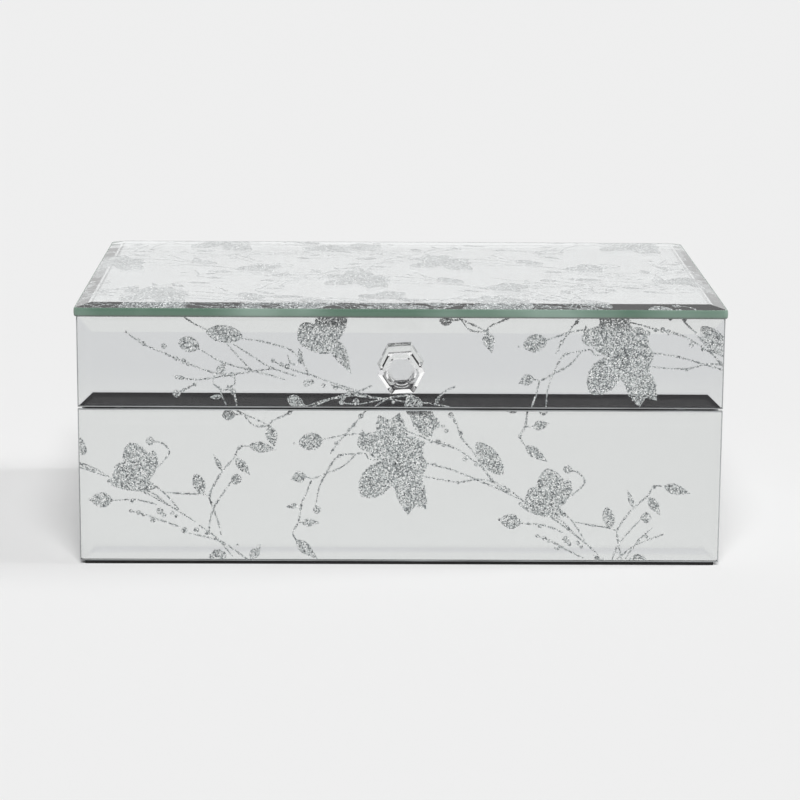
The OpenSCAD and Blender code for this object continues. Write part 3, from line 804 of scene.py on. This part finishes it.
@dataclass
class MirrorPanel:
    """A bevelled glass panel of the CAD frame, with its silvering, its print and its ground edges."""

    node: str
    facing: Facing
    sprays: tuple[Spray, ...] = ()
    corner_r: float = 0.0
    edge: GroundEdge = field(default_factory=lambda: GroundEdge("grey_glass_edge", "#8B8D8D", "#A6A9AA"))
    glass: ClearGlass = field(default_factory=ClearGlass)
    bevel_w: float = 6.5
    bevel_drop: float = 1.5
    silver_gap: float = 0.01
    silver_t: float = 0.02
    silver_margin: float = 0.15
    print_gap: float = 0.06
    print_step: float = 1e-4
    arris_w: float = 0.45
    edge_t: float = 0.02
    edge_swell: float = 0.0
    edge_steps: int = 13
    # Height of a band of painted shade at the foot of the edge, for the dark line under it; none when 0
    painted_shade_h: float = 0.0
    ink: GlitterInk = field(default_factory=GlitterInk)

    def __post_init__(self) -> None:
        """Take the panel's size and place from the frame."""
        low, high = (np.array(corner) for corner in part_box(self.node))
        axes = self.facing.axes
        self.size = np.abs(axes @ (high - low)) / MM
        middle = (low + high) / 2
        self.origin = middle - axes[2] * self.size[2] * MM / 2
        self.body = "lid" if self.node.startswith("lid") else "base"

    def place(self, shape: Shape) -> Shape:
        """Move a shape from the panel's own millimetres, with its back at height 0, to the frame."""
        return Shape(self.origin + shape.points * MM @ self.facing.axes, shape.faces)

    def named(self, what: str) -> str:
        """Return the name of one of the panel's pieces."""
        return self.node.replace("glass", what)

    def prism(self, inset: float, low: float, high: float) -> Shape:
        """Return a closed slab of the panel's outline, moved in by inset, from one height to another."""
        ring = self.outline(inset)
        n = len(ring)
        points = np.vstack([np.column_stack([ring, np.full(n, z)]) for z in (low, high)])
        around = np.stack([np.arange(n), np.roll(np.arange(n), -1)], 1).tolist()
        faces = [tuple(range(n))[::-1], tuple(range(n, 2 * n))] + [(a, b, b + n, a + n) for a, b in around]
        return Shape(points, faces)

    def print(self) -> Shape | None:
        """Return the sprays in front of the silvering, each shape a hair above the last.

        They are cut at the panel's edges. Every face is turned to look out of the panel: where the cross
        product of its diagonals is negative, the order of its corners is reversed.
        """
        shapes = [shape for spray in self.sprays for shape in spray.shapes()]
        if not shapes:
            return None
        for number, shape in enumerate(shapes):
            shape.points[:, 2] = self.print_gap + number * self.print_step
        whole = Shape.joined(shapes)
        limit = self.size[:2] / 2 - self.silver_margin
        inside = np.all(np.abs(whole.points[:, :2]) < limit, axis=1)
        faces = np.array(whole.faces)
        faces = faces[inside[faces].all(axis=1)]
        corners = whole.points[faces]
        one, other = corners[:, 2] - corners[:, 0], corners[:, 3] - corners[:, 1]
        inward = one[:, 0] * other[:, 1] < one[:, 1] * other[:, 0]
        faces[inward] = faces[inward, ::-1]
        used, faces = np.unique(faces, return_inverse=True)
        return Shape(whole.points[used], [tuple(f) for f in faces.reshape(-1, 4).tolist()])

    def outline(self, inset: float) -> np.ndarray:
        """Return the panel's outline moved in by inset: four corners, or four arcs of the corner radius."""
        steps = 9
        w, h = self.size[:2] / 2
        corners = np.array([(1, -1), (1, 1), (-1, 1), (-1, -1)], float)
        if self.corner_r == 0:
            return corners * (w - inset, h - inset)
        angles = np.radians([[-90], [0], [90], [180]]) + np.linspace(0, math.pi / 2, steps)
        arcs = np.stack([np.cos(angles), np.sin(angles)], -1) * (self.corner_r - inset)
        centres = (corners * (w - self.corner_r, h - self.corner_r))[:, None, :].repeat(steps, 1)
        return (centres + arcs).reshape(-1, 2)

    def skin(self, section: Sequence[Point]) -> Shape:
        """Carry a closed section round the panel's outline.

        Args:
            section: Points as (inset from the outline, height), counterclockwise where outside is left.

        Returns:
            The skin.
        """
        rings = [np.column_stack([self.outline(n), np.full(len(self.outline(n)), z)]) for n, z in section]
        faces = grid_faces(len(rings), len(rings[0]), round_rows=True, round_cols=True)
        return Shape(np.vstack(rings), [f[::-1] for f in faces])

    def paint_line(self) -> Shape:
        """Return a thin band of painted shade round the back of the edge, for the dark line under it."""
        e, high = self.edge_t, self.painted_shade_h
        out = -2 * e - self.swell_at(high / self.edge_h)
        return self.skin(((-e / 2, 0.0), (-e / 2, high), (out, high), (-2 * e, 0.0)))

    @property
    def edge_h(self) -> float:
        """Height of the ground edge, up to the bevel."""
        return float(self.size[2] - self.bevel_drop)

    def swell_at(self, t: float) -> float:
        """Return how far the edge is rounded out at t, from 0 at its back: swell * sin(pi * t) ** 0.6."""
        return self.edge_swell * math.sin(math.pi * t) ** 0.6

    def ground_edge(self) -> Shape:
        """Return a skin over the edge that laps onto the bevel."""
        top, e = self.edge_h, self.edge_t
        lap = top + self.arris_w * self.bevel_drop / self.bevel_w
        steps = np.linspace(0, 0.9999, self.edge_steps if self.edge_swell else 2)
        outside = [(-e - self.swell_at(t), t * (top + e / 2)) for t in steps]
        inside = [(0.0, top + e), (self.arris_w, lap + e), (self.arris_w, lap - e), (e, top - e), (e, 0.0)]
        return self.skin((outside + inside)[::-1])

    def build(self) -> None:
        """Dress the glass and add its silvering, print and edge."""
        self.glass.dress(self.node)
        silver = self.prism(self.silver_margin, self.silver_gap, self.silver_gap + self.silver_t)
        make_piece(self.named("silvering"), self.place(silver), Silvering(), self.body)
        drawn = self.print()
        if drawn is not None:
            make_piece(self.named("print"), self.place(drawn), self.ink, self.body)
        edge = self.place(self.ground_edge())
        make_piece(self.named("ground_edge"), edge, self.edge, self.body)
        # A band of painted shade round the foot of the edge, for the dark line under it
        if self.painted_shade_h:
            painted = self.place(self.paint_line())
            make_piece(self.named("paint_line"), painted, UnderEdgeShade(), self.body)


# ---- Linings and pads ----


@dataclass
class VelvetCard:
    """A card wrapped in velvet that stands for a flat lining node: soft edges and a slightly uneven pile."""

    node: str
    facing: Facing
    edge_r: float = 0.7
    swell: float = 0.2
    cells: tuple[int, int] = (64, 24)

    def build(self) -> bpy.types.Object:
        """Build the card and let it stand for its node."""
        low, high = (np.array(corner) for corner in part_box(self.node))
        axes = self.facing.axes
        size = np.abs(axes @ (high - low)) / MM
        shape = soft_slab(size[0], size[1], size[2] - self.swell, self.edge_r, self.swell, self.cells)
        origin = (low + high) / 2 - axes[2] * size[2] * MM / 2
        body = "lid" if self.node.startswith("lid") else "base"
        placed = Shape(origin + shape.points * MM @ axes, shape.faces)
        piece = make_piece(f"{self.node}_velvet", placed, Velvet(), body, smooth=True)
        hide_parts(self.node)
        return piece


def soft_slab(
    width: float, height: float, thick: float, edge_r: float, swell: float, cells: tuple[int, int]
) -> Shape:
    """Make a closed slab with a flat back and a soft front, on the plane z = 0.

    Its front's height is thick * sqrt(1 - (1 - d / edge_r) ** 2) for d, the distance to the edge, up to
    edge_r, plus swell * (sin(pi x) * sin(pi y)) ** 0.3 for x and y from 0 to 1 across it. The whole height is
    then squeezed so that it starts from 0.15 * thick at the edge.

    Args:
        width: Its size along x.
        height: Its size along y.
        thick: The height of its front just inside the edge.
        edge_r: How far in from the edge the front is rounded.
        swell: How much more the middle stands out.
        cells: Numbers of cells along x and y, besides those at the edges.

    Returns:
        The slab.
    """
    rim = edge_r * (1 - np.cos(np.linspace(0, math.pi / 2, 5)))
    x = np.concatenate([rim, np.linspace(edge_r, width - edge_r, cells[0])[1:-1], width - rim[::-1]])
    y = np.concatenate([rim, np.linspace(edge_r, height - edge_r, cells[1])[1:-1], height - rim[::-1]])
    gx, gy = np.meshgrid(x, y, indexing="ij")
    near = np.minimum(np.minimum(gx, width - gx), np.minimum(gy, height - gy))
    front = thick * np.sqrt(1 - (1 - np.clip(near / edge_r, 0, 1)) ** 2)
    front += swell * np.clip(np.sin(math.pi * gx / width) * np.sin(math.pi * gy / height), 0, 1) ** 0.3
    flat = np.stack([gx - width / 2, gy - height / 2], -1).reshape(-1, 2)
    rows, cols = len(x), len(y)
    n = rows * cols
    rim_up = 0.15 * thick
    top = np.column_stack([flat, (front + rim_up * (1 - front / (thick + swell))).ravel()])
    back = np.column_stack([flat, np.zeros(len(flat))])
    up = [f[::-1] for f in grid_faces(rows, cols)]
    down = [tuple(i + n for i in f) for f in grid_faces(rows, cols)]
    ids = np.arange(n).reshape(rows, cols)
    ring = np.concatenate([ids[:, 0], ids[-1, 1:], ids[-2::-1, -1], ids[0, -2:0:-1]]).tolist()
    wall = [(a, a + n, b + n, b) for a, b in zip(ring, ring[1:] + ring[:1])]
    return Shape(np.vstack([top, back]), up + down + wall)


@dataclass
class VelvetPad:
    """A foam pad wrapped in velvet that stands for a pad node, blown up a little by cloth simulation."""

    node: str
    edge_r: float = 2.4
    swell: float = 0.4
    cap: float = 0.7
    steps: int = 20
    pressure: float = 4.0
    quality: int = 5
    fill: float = 0.7
    side_gap: float = 0.2
    cells: tuple[int, int] = (62, 40)

    def build(self) -> bpy.types.Object:
        """Build the pad, let its cover settle, and let it stand for its node."""
        low, high = (np.array(corner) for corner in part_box(self.node))
        under = self.node.startswith("lid")
        size = (high - low) / MM
        width, height = size[:2] - 2 * self.side_gap
        shape = soft_slab(width, height, size[2] - self.swell, self.edge_r, self.swell, self.cells)
        turn = np.diag([1.0, -1.0, -1.0]) if under else np.eye(3)
        origin = np.array([(low[0] + high[0]) / 2, (low[1] + high[1]) / 2, high[2] if under else low[2]])
        placed = Shape(origin + shape.points * MM @ turn, shape.faces)
        body = "lid" if under else "base"
        piece = make_piece(f"{self.node}_velvet", placed, Velvet(), body, smooth=True)
        self.settle(piece, len(shape.points) // 2)
        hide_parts(self.node)
        return piece

    def settle(self, piece: bpy.types.Object, fronts: int) -> None:
        """Blow the cover up by cloth simulation, then keep each point within the cap of where it started.

        Args:
            piece: The pad.
            fronts: How many of its points, counted from the first, may move. The rest are glued down.
        """
        mesh = piece.data
        start = np.empty(len(mesh.vertices) * 3)
        mesh.vertices.foreach_get("co", start)
        start = start.reshape(-1, 3)
        glued = piece.vertex_groups.new(name="glued")
        glued.add(list(range(fronts, len(start))), 1.0, "REPLACE")
        cloth = piece.modifiers.new("cover", "CLOTH")
        cloth.settings.vertex_group_mass = "glued"
        cloth.settings.use_pressure = True
        cloth.settings.uniform_pressure_force = self.pressure
        cloth.settings.quality = self.quality
        cloth.settings.effector_weights.gravity = 0.0
        for number in range(1, self.steps + 1):
            bpy.context.scene.frame_set(number)
        settled = piece.evaluated_get(bpy.context.evaluated_depsgraph_get()).to_mesh()
        moved = np.empty(len(start) * 3)
        settled.vertices.foreach_get("co", moved)
        step = moved.reshape(-1, 3) - start
        far = np.linalg.norm(step, axis=1, keepdims=True)
        cap = self.cap * MM
        start += step * cap / (far + cap)
        piece.modifiers.remove(cloth)
        piece.vertex_groups.remove(glued)
        mesh.vertices.foreach_set("co", start.ravel())
        mesh.update()
        bpy.context.scene.frame_set(1)
        LOG.info("%s settled, by %.2f mm at most before the cap", piece.name, float(far.max()) / MM)


# ---- Hard parts ----


@dataclass
class Softened:
    """A merged copy of a hard CAD node with its sharp edges broken, which stands for the node."""

    node: str
    finish: Finish
    arris: float = 0.25
    move: tuple[float, float, float] = (0.0, 0.0, 0.0)
    sharp: float = 40.0

    def build(self) -> bpy.types.Object:
        """Copy the node, merge its triangles, and bevel every edge sharper than sharp degrees."""
        source = frame["nodes"][self.node]
        mesh = source.data.copy()
        mesh.name = f"{self.node}_arrised"
        piece = bpy.data.objects.new(mesh.name, mesh)
        bpy.context.scene.collection.objects.link(piece)
        weld(mesh)
        mesh.shade_flat()
        mesh.transform(Matrix.Translation(Vector(self.move) * MM))
        mesh.materials.clear()
        mesh.materials.append(self.finish.material())
        bevel = piece.modifiers.new("arris", "BEVEL")
        bevel.width, bevel.segments = self.arris * MM, 2
        bevel.limit_method, bevel.angle_limit = "ANGLE", math.radians(self.sharp)
        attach(piece, source["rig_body"])
        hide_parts(self.node)
        LOG.info("%s: edges broken by %.2f mm", piece.name, self.arris)
        return piece


def weld(mesh: bpy.types.Mesh, apart: float = 1e-7, flat: float = 0.5) -> None:
    """Merge a mesh's loose triangles and join those that lie in one plane.

    Args:
        mesh: The mesh.
        apart: How far apart points may be that are merged.
        flat: The angle in degrees between faces that still counts as one plane.
    """
    work = bmesh.new()
    work.from_mesh(mesh)
    bmesh.ops.remove_doubles(work, verts=work.verts, dist=apart)
    bmesh.ops.dissolve_limit(work, angle_limit=math.radians(flat), verts=work.verts, edges=work.edges)
    bmesh.ops.recalc_face_normals(work, faces=work.faces)
    work.to_mesh(mesh)
    work.free()


# ---- The box ----


@dataclass
class Base:
    """The lower part of the box: its four mirror panels, carcass, felt, linings, pad and bumpers."""

    branch_at: Point = (-2.3, 11.5)
    second_at: Point = (-176.3, 13.7)
    second_turn: float = 7.4

    def panels(self) -> list[MirrorPanel]:
        """Return the mirror panels with their sprays."""
        front = (
            Spray(BLOSSOM_BRANCH, self.branch_at),
            Spray(BLOSSOM_BRANCH, self.second_at, self.second_turn),
            Spray(HANGING_TWIG, (-54.7, 25.2)), Spray(DROPPING_TWIG, (52.0, 25.9)),
            Spray(HALF_BLOSSOM, (4, 33)),
            Spray(LOW_TWIG, (-75.1, -24.3)), Spray(LOW_TWIG, (98, -26), 8, flip=True),
        )
        back = (
            Spray(BLOSSOM_BRANCH, (-60, 10), 4), Spray(RISING_SPRAY, (-118, -6), 6),
            Spray(RISING_SPRAY, (96, 4), -4), Spray(HANGING_TWIG, (20, 24)),
        )
        left = (
            Spray(BLOSSOM_BRANCH, (-38, 12), 3), Spray(DROPPING_TWIG, (66, 26)),
            Spray(HANGING_TWIG, (18, 26)),
        )
        right = (
            Spray(RISING_SPRAY, (-44, 2), 4), Spray(BLOSSOM_BRANCH, (32, 13), -5),
            Spray(HANGING_TWIG, (-8, 26)),
        )
        return [
            MirrorPanel("base_front_glass", Facing.FRONT, front),
            MirrorPanel("base_back_glass", Facing.BACK, back),
            MirrorPanel("base_left_glass", Facing.LEFT, left),
            MirrorPanel("base_right_glass", Facing.RIGHT, right),
        ]

    def build(self) -> None:
        """Build and dress everything that rides on the base."""
        for panel in self.panels():
            panel.build()
        for board in ("front", "back", "left", "right", "floor"):
            Softened(f"base_{board}_board", PaintedBoard()).build()
        build_linings("base")
        VelvetPad("base_floor_pad").build()
        NeedleFelt().dress("base_felt")
        SoftSilicone().dress("rim_bumpers")


@dataclass
class Lid:
    """The upper part of the box: its five mirror panels, carcass, linings, pad and crystal knob."""

    branch_at: Point = (91.1, 4.7)
    branch_turn: float = 6.0
    knob_gap: float = 0.04

    def panels(self) -> list[MirrorPanel]:
        """Return the mirror panels with their sprays."""
        front = (
            Spray(BLOSSOM_BRANCH, self.branch_at, self.branch_turn), Spray(RISING_SPRAY, (-60, -2.5)),
            Spray(HANGING_TWIG, (35.3, 12.9)), Spray(CROSSING_TWIGS, (-5, -15.5)),
        )
        back = (
            Spray(BLOSSOM_BRANCH, (-30, 2), 4), Spray(RISING_SPRAY, (-112, -2), 3),
            Spray(BLOSSOM_BRANCH, (130, 12), 8),
        )
        left = (Spray(RISING_SPRAY, (-30, -2)), Spray(BLOSSOM_BRANCH, (40, 5), 4))
        right = (Spray(BLOSSOM_BRANCH, (-44, 6), 5), Spray(HANGING_TWIG, (54, 13)))
        top = (
            Spray(BLOSSOM_BRANCH, (-127, 25), 1), Spray(BLOSSOM_BRANCH, (-102, -60), -3),
            Spray(BLOSSOM_BRANCH, (-17, -19), -4), Spray(BLOSSOM_BRANCH, (20, 29), -1),
            Spray(BLOSSOM_BRANCH, (110, 78), -4), Spray(BLOSSOM_BRANCH, (-82, 84), 2),
            Spray(BLOSSOM_BRANCH, (42, -78), 2), Spray(BLOSSOM_BRANCH, (-205, -24), 3),
            Spray(RISING_SPRAY, (-34, -78), 4), Spray(RISING_SPRAY, (92, -34), -6),
            Spray(RISING_SPRAY, (-60, 50), 5), Spray(HANGING_TWIG, (64, 58)),
            Spray(DROPPING_TWIG, (-88, -8), 20), Spray(DROPPING_TWIG, (118, 26), -15),
        )
        return [
            MirrorPanel("lid_front_glass", Facing.FRONT, front),
            MirrorPanel("lid_back_glass", Facing.BACK, back),
            MirrorPanel("lid_left_glass", Facing.LEFT, left),
            MirrorPanel("lid_right_glass", Facing.RIGHT, right),
            MirrorPanel(
                # Its edge gets a 0.55 mm band of painted shade at its foot, for the dark line under the
                # overhang
                "lid_top_glass", Facing.TOP, top, corner_r=2.0, arris_w=0.35, edge_swell=0.3, painted_shade_h=0.55,
                edge=GroundEdge(), glass=ClearGlass("thick_float_glass", "#FAFCFC"),
                # The top's ink is the same glitter ink in darker tones with more contrast: painted shade, so
                # the print reads darker on the top
                ink=GlitterInk(
                    "silver_glitter_ink_top_painted_darker", tones=("#3C4043", "#5F6467", "#8D9192", "#BCC0C0", "#FFFFFF")
                ),
            ),
        ]

    def build(self) -> None:
        """Build and dress everything that rides on the lid."""
        for panel in self.panels():
            panel.build()
        for board in ("front", "back", "left", "right", "top"):
            Softened(f"lid_{board}_board", PaintedBoard()).build()
        build_linings("lid")
        VelvetPad("lid_top_pad", edge_r=1.8, swell=0.3, cap=0.5).build()
        Softened("lid_knob", CutCrystal(), 0.12, (0, -self.knob_gap, 0)).build()


def build_linings(part: str) -> None:
    """Wrap the four lining cards of the base or the lid: each shows its face to the inside."""
    inward = {"front": Facing.BACK, "back": Facing.FRONT, "left": Facing.RIGHT, "right": Facing.LEFT}
    for wall, facing in inward.items():
        VelvetCard(f"{part}_{wall}_lining", facing).build()


@dataclass
class Hinges:
    """The two butt hinges with their pins and screws."""

    plate: PlatedMetal = field(default_factory=PlatedMetal)
    steel: PlatedMetal = field(default_factory=lambda: PlatedMetal("zinc_plated_steel", "#BDBDB9", 0.24, 2.0))

    def build(self) -> None:
        """Dress the leaves, pins and screws."""
        for side in ("left", "right"):
            self.plate.dress(f"{side}_hinge_base_leaf", f"{side}_hinge_lid_leaf")
            self.steel.dress(f"{side}_hinge_pin")
        self.steel.dress("base_hinge_screws", "lid_hinge_screws")


# ---- The studio ----


@dataclass(frozen=True)
class Lamp:
    """A soft lamp so far away that it lights the whole floor evenly. Mirrors don't show it."""

    name: str
    comes_from: tuple[float, float, float]
    strength: float
    angle: float

    def hang(self) -> None:
        """Add the lamp to the scene."""
        light = bpy.data.lights.new(self.name, "SUN")
        light.energy, light.angle = self.strength, math.radians(self.angle)
        lamp = bpy.data.objects.new(self.name, light)
        lamp.rotation_euler = (-Vector(self.comes_from)).to_track_quat("-Z", "Y").to_euler()
        lamp.visible_glossy = lamp.visible_transmission = False
        bpy.context.scene.collection.objects.link(lamp)


@dataclass
class Studio:
    """A pale paper floor, a bright tent with dark openings in front, two soft lamps, and the camera."""

    floor_half: float = 9.0
    tent: str = "#F4F4F4"
    opening: str = "#171519"
    tent_strength: float = 1.12
    tent_fill: float = 0.15
    # Each opening's lowest and highest z, and the y where it starts and is full, on a unit sphere
    dark: tuple[tuple[float, float, float, float], ...] = (
        (0.015, 0.19, -0.6, -0.7), (0.28, 0.66, -0.3, -0.4),
    )
    soft_low: float = 0.015
    soft_high: float = 0.05
    lamps: tuple[Lamp, ...] = (
        Lamp("key", (0.9, 0.03, 0.42), 1.25, 16.0), Lamp("fill", (0.02, -0.7, 0.9), 2.84, 30.0),
    )
    camera_at: tuple[float, float, float] = (-0.0147, -1.2247, 0.3114)
    pitch: float = 11.95
    yaw: float = -0.726
    roll: float = 0.37
    lens: float = 126.0
    sensor: float = 36.0
    clip: Point = (0.01, 50.0)

    def floor(self) -> None:
        """Lay the floor."""
        h = self.floor_half
        mesh = bpy.data.meshes.new("floor")
        mesh.from_pydata([(-h, -h, 0), (h, -h, 0), (h, h, 0), (-h, h, 0)], [], [(0, 1, 2, 3)])
        mesh.materials.append(PaperSweep().material())
        ground = bpy.data.objects.new("floor", mesh)
        bpy.context.scene.collection.objects.link(ground)

    def surroundings(self) -> None:
        """Light the tent from all round, but for the dark openings in front."""
        world = bpy.data.worlds.new("tent")
        bpy.context.scene.world = world
        world.use_nodes = True
        world.cycles.sampling_method = "NONE"
        tree = world.node_tree
        tree.nodes.clear()
        place = add_node(tree, "ShaderNodeTexCoord").outputs["Generated"]
        way = add_node(tree, "ShaderNodeSeparateXYZ", links={0: place}).outputs
        ray = add_node(tree, "ShaderNodeLightPath")
        unseen = add_node(
            tree, "ShaderNodeMath", {"operation": "SUBTRACT", 0: 1.0}, {1: ray.outputs["Is Camera Ray"]}
        ).outputs[0]
        colour = add_node(tree, "ShaderNodeRGB").outputs[0]
        colour.default_value = linear(self.tent)
        for low, high, start, end in self.dark:
            inside = unseen
            edges = (("Z", low, low + self.soft_low), ("Z", high + self.soft_high, high), ("Y", start, end))
            for axis, none, full in edges:
                smooth = {"interpolation_type": "SMOOTHSTEP", "From Min": none, "From Max": full}
                part = add_node(tree, "ShaderNodeMapRange", smooth, {"Value": way[axis]})
                inside = add_node(
                    tree, "ShaderNodeMath", {"operation": "MULTIPLY"}, {0: inside, 1: part.outputs[0]}
                ).outputs[0]
            colour = add_node(
                tree, "ShaderNodeMix", {"data_type": "RGBA", 7: linear(self.opening)}, {0: inside, 6: colour}
            ).outputs[2]
        strength = add_node(
            tree, "ShaderNodeMapRange", {"To Min": self.tent_strength, "To Max": self.tent_fill},
            {"Value": ray.outputs["Is Diffuse Ray"]},
        ).outputs[0]
        glow = add_node(tree, "ShaderNodeBackground", links={"Color": colour, "Strength": strength})
        add_node(tree, "ShaderNodeOutputWorld", links={"Surface": glow.outputs[0]})

    def camera(self) -> None:
        """Set the camera up in front of the box, looking a little down."""
        data = bpy.data.cameras.new("camera")
        data.lens, data.sensor_width = self.lens, self.sensor
        data.clip_start, data.clip_end = self.clip
        camera = bpy.data.objects.new("camera", data)
        turn = Matrix.Rotation(math.radians(self.yaw), 4, "Z")
        turn @= Matrix.Rotation(math.radians(90 - self.pitch), 4, "X")
        turn @= Matrix.Rotation(math.radians(self.roll), 4, "Z")
        camera.matrix_world = Matrix.Translation(self.camera_at) @ turn
        bpy.context.scene.collection.objects.link(camera)
        bpy.context.scene.camera = camera

    def build(self) -> None:
        """Set the whole studio up."""
        self.floor()
        self.surroundings()
        for lamp in self.lamps:
            lamp.hang()
        self.camera()
        bpy.context.scene.view_settings.view_transform = "Standard"


def main() -> None:
    """Build the studio and the box."""
    logging.basicConfig(level=logging.INFO, format="%(name)s: %(message)s")
    Studio().build()
    Base().build()
    Lid().build()
    Hinges().build()


if __name__ == "__main__":
    main()
